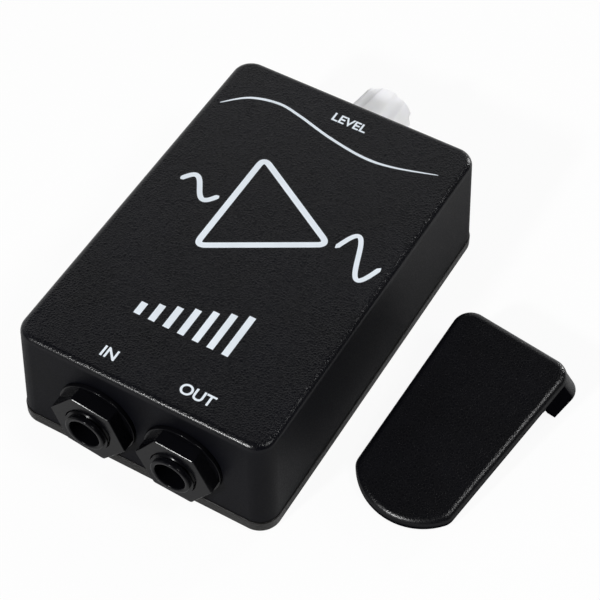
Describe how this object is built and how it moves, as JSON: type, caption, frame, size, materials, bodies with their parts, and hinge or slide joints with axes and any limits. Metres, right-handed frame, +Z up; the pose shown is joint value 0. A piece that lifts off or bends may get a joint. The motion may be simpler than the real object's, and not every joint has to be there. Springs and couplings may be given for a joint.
{
  "type": "acoustic guitar preamplifier",
  "caption": "Small black belt-worn acoustic guitar preamplifier box with quarter-inch input and output jacks, a white gain knob, a battery inside and a loose belt clip.",
  "frame": {"origin": "middle of the lid's underside, on which the case stands", "axes": "+Z up out of the labelled top, +Y along the case from the jacks to the gain knob, +X to the right of the jacks' end seen from above, where the belt clip lies"},
  "size_m": [0.0918, 0.1019, 0.0262],
  "materials": {
    "black_abs": "satin, fine leather grain on the top",
    "lid_abs": "matte, plain",
    "black_nylon": "semi-matte moulded",
    "clip_plastic": "satin with pebbled edges",
    "milky_plastic": "soft gloss, slightly translucent",
    "screw_steel": "dark plated",
    "pot_metal": "plain stamped",
    "contact_brass": "bright sheet",
    "shaft_plastic": "moulded",
    "phenolic": "pressed laminate",
    "board_laminate": "solder mask",
    "chip_epoxy": "moulded",
    "cap_sleeve": "shrunk sleeve",
    "film_cap_case": "moulded",
    "resistor_coat": "lacquered",
    "battery_jacket": "printed steel",
    "terminal_nickel": "plated",
    "snap_vinyl": "soft vinyl",
    "foam": "open cell",
    "red_insulation": "vinyl insulation",
    "black_insulation": "vinyl insulation",
    "white_insulation": "vinyl insulation",
    "blue_insulation": "vinyl insulation",
    "green_insulation": "vinyl insulation",
    "tinned_wire": "tinned copper"
  },
  "bodies": {
    "case": {"case_shell": "black_abs", "lid": "lid_abs", "lid_screws": "screw_steel", "input_jack_body": "black_nylon", "input_jack_washer": "black_nylon", "input_jack_nut": "black_nylon", "input_tip_spring": "contact_brass", "input_ring_spring": "contact_brass", "input_sleeve_spring": "contact_brass", "output_jack_body": "black_nylon", "output_jack_washer": "black_nylon", "output_jack_nut": "black_nylon", "output_tip_spring": "contact_brass", "output_sleeve_spring": "contact_brass", "pot_bushing": "pot_metal", "pot_can": "pot_metal", "pot_wafer": "phenolic", "pot_pins": "tinned_wire", "pot_washer": "pot_metal", "pot_nut": "pot_metal", "circuit_board": "board_laminate", "op_amp_chip": "chip_epoxy", "electrolytic_caps": "cap_sleeve", "film_caps": "film_cap_case", "resistors": "resistor_coat", "battery": "battery_jacket", "battery_terminals": "terminal_nickel", "battery_snap": "snap_vinyl", "snap_contacts": "terminal_nickel", "battery_foam": "foam", "red_lead": "red_insulation", "black_lead": "black_insulation", "input_wire": "white_insulation", "output_wire": "blue_insulation", "ground_wire": "green_insulation", "ground_link": "tinned_wire"},
    "gain_control": {"gain_knob": "milky_plastic", "pot_shaft": "shaft_plastic", "pot_rotor": "shaft_plastic", "pot_wiper": "contact_brass"},
    "belt_clip": {"belt_clip": "clip_plastic"}
  },
  "joints": [
    {"name": "gain_turn", "type": "hinge", "parent": "case", "child": "gain_control", "pos_m": [0, 0.04, 0.013], "axis": [0, 1, 0], "range_deg": [-150, 150]},
    {"name": "clip_lift", "type": "slide", "parent": "case", "child": "belt_clip", "axis": [0, 0, 1], "range_m": [0, 0.06]}
  ]
}
